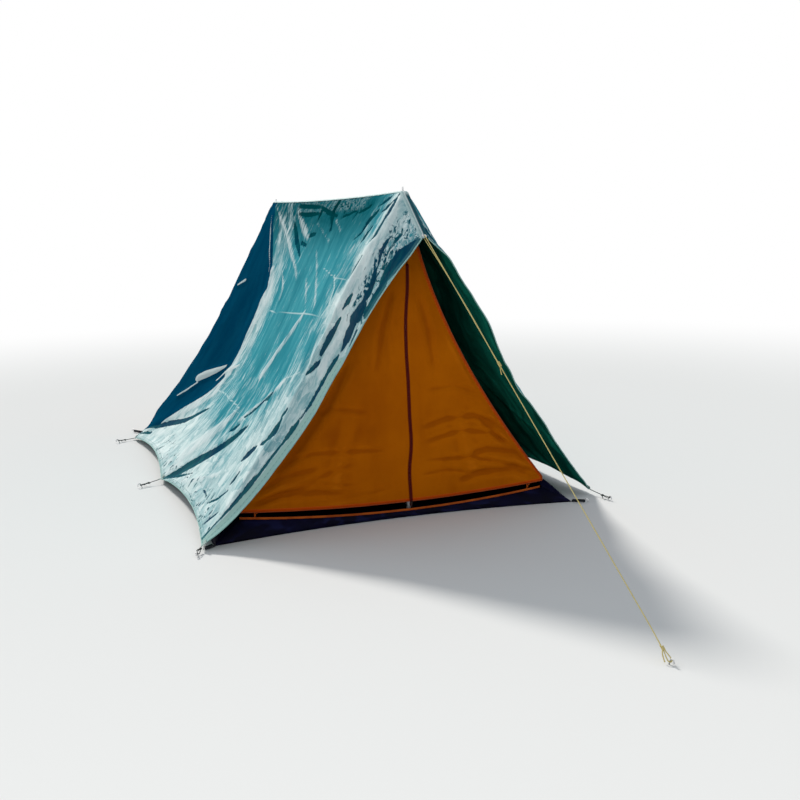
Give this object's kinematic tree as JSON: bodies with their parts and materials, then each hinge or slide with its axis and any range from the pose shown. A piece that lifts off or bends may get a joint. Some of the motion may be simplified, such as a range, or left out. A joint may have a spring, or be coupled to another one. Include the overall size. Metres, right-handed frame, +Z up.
{
  "type": "ridge tent",
  "caption": "Ridge tent: a peaked flysheet with end hoods over an inner tent with a zipped door and a tub groundsheet, on upright poles, held by pegs and a front guy line.",
  "frame": {"origin": "on the ground, half way between the feet of the two poles", "axes": "+Z up, +Y towards the back of the tent along the ridge, +X to the right seen from the door"},
  "size_m": [1.8063, 3.627, 1.3561],
  "materials": {
    "fly_cloth": "proofed ripstop cloth with a soft sheen",
    "inner_cloth": "thin woven cloth",
    "groundsheet_cloth": "coated waterproof cloth, satin",
    "webbing": "flat woven tape",
    "black_webbing": "flat woven tape",
    "orange_binding": "woven binding tape",
    "zip": "nylon coil on tape",
    "galvanised_steel": "zinc plated, satin",
    "plastic": "moulded, matt",
    "guy_cord": "braided cord",
    "dark_cord": "braided cord"
  },
  "bodies": {
    "tent": {"corner_tie_left": "orange_binding", "corner_tie_right": "orange_binding", "floor_loop_front_left": "black_webbing", "floor_loop_front_right": "black_webbing", "floor_loop_rear_left": "black_webbing", "floor_loop_rear_right": "black_webbing", "floor_peg_front_left": "galvanised_steel", "floor_peg_front_right": "galvanised_steel", "floor_peg_rear_left": "galvanised_steel", "floor_peg_rear_right": "galvanised_steel", "fly_cord_front_left": "dark_cord", "fly_cord_front_right": "dark_cord", "fly_cord_middle_left": "dark_cord", "fly_cord_middle_right": "dark_cord", "fly_cord_rear_left": "dark_cord", "fly_cord_rear_right": "dark_cord", "fly_eyelet_front": "galvanised_steel", "fly_eyelet_rear": "galvanised_steel", "fly_panel_left": "fly_cloth", "fly_panel_right": "fly_cloth", "fly_peg_front_left": "galvanised_steel", "fly_peg_front_right": "galvanised_steel", "fly_peg_middle_left": "galvanised_steel", "fly_peg_middle_right": "galvanised_steel", "fly_peg_rear_left": "galvanised_steel", "fly_peg_rear_right": "galvanised_steel", "fly_ridge_tape": "webbing", "front_panel_left": "inner_cloth", "front_panel_right": "inner_cloth", "groundsheet": "groundsheet_cloth", "guy_line": "guy_cord", "guy_peg": "galvanised_steel", "guy_return": "guy_cord", "hood_eyelet_front": "galvanised_steel", "hood_eyelet_rear": "galvanised_steel", "inner_eyelet_front": "galvanised_steel", "inner_eyelet_rear": "galvanised_steel", "inner_ridge_tape": "orange_binding", "inner_wall_left": "inner_cloth", "inner_wall_rear": "inner_cloth", "inner_wall_right": "inner_cloth", "pole_front_foot": "plastic", "pole_front_lower": "galvanised_steel", "pole_front_spike": "galvanised_steel", "pole_front_upper": "galvanised_steel", "pole_rear_foot": "plastic", "pole_rear_lower": "galvanised_steel", "pole_rear_spike": "galvanised_steel", "pole_rear_upper": "galvanised_steel", "sill_binding": "orange_binding", "tub_wall": "groundsheet_cloth"},
    "door_left": {"door_left": "inner_cloth", "zip_half_left": "zip"},
    "door_right": {"door_right": "inner_cloth", "zip_half_right": "zip"},
    "zip_slider": {"zip_slider": "galvanised_steel"},
    "zip_pull": {"zip_pull": "galvanised_steel"},
    "guy_hitch": {"guy_hitch": "guy_cord"}
  },
  "joints": [
    {"name": "door_left_fold", "type": "hinge", "parent": "tent", "child": "door_left", "pos_m": [-0.44, -0.98, 0.07198], "axis": [-0.448, 0, -0.894], "range_deg": [0, 110]},
    {"name": "door_right_fold", "type": "hinge", "parent": "tent", "child": "door_right", "pos_m": [0.44, -0.98, 0.07198], "axis": [-0.448, 0, 0.894], "range_deg": [0, 110]},
    {"name": "zip_slide", "type": "slide", "parent": "door_left", "child": "zip_slider", "axis": [0, 0, 1], "range_m": [0, 0.851]},
    {"name": "zip_pull_hinge", "type": "hinge", "parent": "zip_slider", "child": "zip_pull", "pos_m": [0, -0.9839, 0.0517], "axis": [-1, 0, 0], "range_deg": [0, 120]},
    {"name": "guy_hitch_slide", "type": "slide", "parent": "tent", "child": "guy_hitch", "axis": [0.0729, -0.7831, -0.6176], "range_m": [-0.25, 0.25], "deforming": ["guy_return"]}
  ]
}
